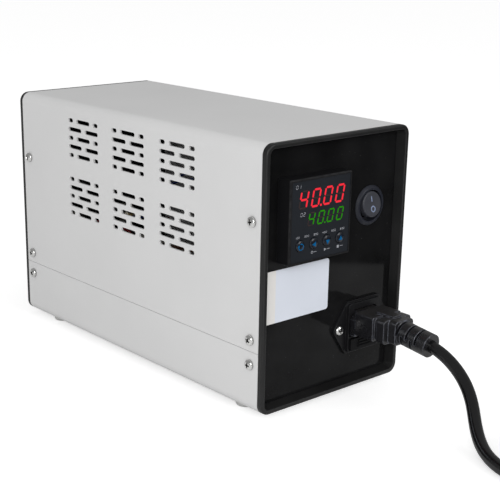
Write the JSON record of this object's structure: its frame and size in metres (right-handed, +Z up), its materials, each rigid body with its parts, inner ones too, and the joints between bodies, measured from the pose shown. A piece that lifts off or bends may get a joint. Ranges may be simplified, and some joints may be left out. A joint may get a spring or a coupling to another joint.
{
  "type": "temperature control unit",
  "caption": "Bench temperature control unit: vented grey case with black rims, digital controller, rocker switch, fused mains inlet with a coiled lead, and rear sockets.",
  "frame": {"origin": "on the bench under the middle of the case, without its mains lead", "axes": "+Y towards the back of the unit, so the controls face -Y; +X to the right seen from the front; +Z up"},
  "size_m": [0.1517, 0.4662, 0.1595],
  "materials": {
    "cover_grey": "fine satin light grey paint",
    "trim_black": "moulded satin black",
    "panel_black": "smooth black panel with a soft gloss",
    "screw_zinc": "bright zinc plate",
    "foot_grey": "light grey soft feet",
    "label_white": "blank white label, thin film",
    "controller_black": "fine-grained black moulding",
    "controller_window": "dark smoked front",
    "digits_red": "lit red digits",
    "digits_green": "lit green digits",
    "board_green": "glass-fibre board",
    "terminal_black": "terminal blocks",
    "contact_brass": "bright contacts",
    "key_black": "soft dark keys",
    "switch_black": "smooth black switch",
    "inlet_black": "black inlet moulding",
    "fuse_glass": "clear tube fuse",
    "socket_nickel": "nickel-plated shells",
    "sink_aluminium": "extruded heat sink",
    "relay_cream": "cream relay moulding",
    "wire_brown": "insulated mains wire",
    "wire_earth": "insulated earth wire",
    "wire_red": "insulated output wire",
    "wire_blue": "thin sensor wire",
    "lead_black": "black mains lead"
  },
  "bodies": {
    "unit": {"top_cover": "cover_grey", "bottom_tray": "cover_grey", "front_frame": "trim_black", "rear_frame": "trim_black", "front_panel": "panel_black", "rear_panel": "panel_black", "cover_screws": "screw_zinc", "tray_screws": "screw_zinc", "foot_front_left": "foot_grey", "foot_front_right": "foot_grey", "foot_rear_left": "foot_grey", "foot_rear_right": "foot_grey", "foot_screws": "screw_zinc", "foot_nuts": "screw_zinc", "blank_label": "label_white", "controller_bezel": "controller_black", "controller_face": "controller_window", "controller_case": "controller_black", "controller_clamp": "controller_black", "upper_display": "digits_red", "lower_display": "digits_green", "controller_board": "board_green", "controller_terminals": "terminal_black", "terminal_screws": "contact_brass", "switch_body": "switch_black", "switch_terminals": "contact_brass", "inlet_body": "inlet_black", "inlet_pins": "contact_brass", "inlet_screws": "screw_zinc", "inlet_nuts": "screw_zinc", "output_socket": "socket_nickel", "output_contacts": "contact_brass", "output_nut": "socket_nickel", "sensor_socket": "socket_nickel", "sensor_contacts": "contact_brass", "sensor_nut": "socket_nickel", "heat_sink": "sink_aluminium", "solid_state_relay": "relay_cream", "relay_screws": "screw_zinc", "heat_sink_screws": "screw_zinc", "terminal_strip": "terminal_black", "earth_stud": "screw_zinc", "mains_wires": "wire_brown", "earth_wire": "wire_earth", "relay_wires": "wire_brown", "output_wires": "wire_red", "signal_wires": "wire_blue", "lead_connector": "lead_black", "mains_cord": "lead_black", "cord_coil": "lead_black", "cord_tail": "lead_black", "coil_tie": "lead_black", "mains_plug": "lead_black"},
    "key_cycle": {"key_cycle": "key_black"},
    "key_shift": {"key_shift": "key_black"},
    "key_down": {"key_down": "key_black"},
    "key_up": {"key_up": "key_black"},
    "rocker": {"switch_rocker": "switch_black"},
    "fuse_drawer": {"fuse_drawer": "inlet_black", "fuse": "fuse_glass"}
  },
  "joints": [
    {"name": "key_cycle_press", "type": "slide", "parent": "unit", "child": "key_cycle", "axis": [0, 1, 0], "range_m": [0, 0.0006], "stiffness_N_per_m": 400},
    {"name": "key_shift_press", "type": "slide", "parent": "unit", "child": "key_shift", "axis": [0, 1, 0], "range_m": [0, 0.0006], "stiffness_N_per_m": 400},
    {"name": "key_down_press", "type": "slide", "parent": "unit", "child": "key_down", "axis": [0, 1, 0], "range_m": [0, 0.0006], "stiffness_N_per_m": 400},
    {"name": "key_up_press", "type": "slide", "parent": "unit", "child": "key_up", "axis": [0, 1, 0], "range_m": [0, 0.0006], "stiffness_N_per_m": 400},
    {"name": "rocker_turn", "type": "hinge", "parent": "unit", "child": "rocker", "pos_m": [0.0315, -0.1151, 0.1131], "axis": [1, 0, 0], "range_deg": [0, 22]},
    {"name": "fuse_drawer_slide", "type": "slide", "parent": "unit", "child": "fuse_drawer", "axis": [0, -1, 0], "range_m": [0, 0.014]}
  ]
}
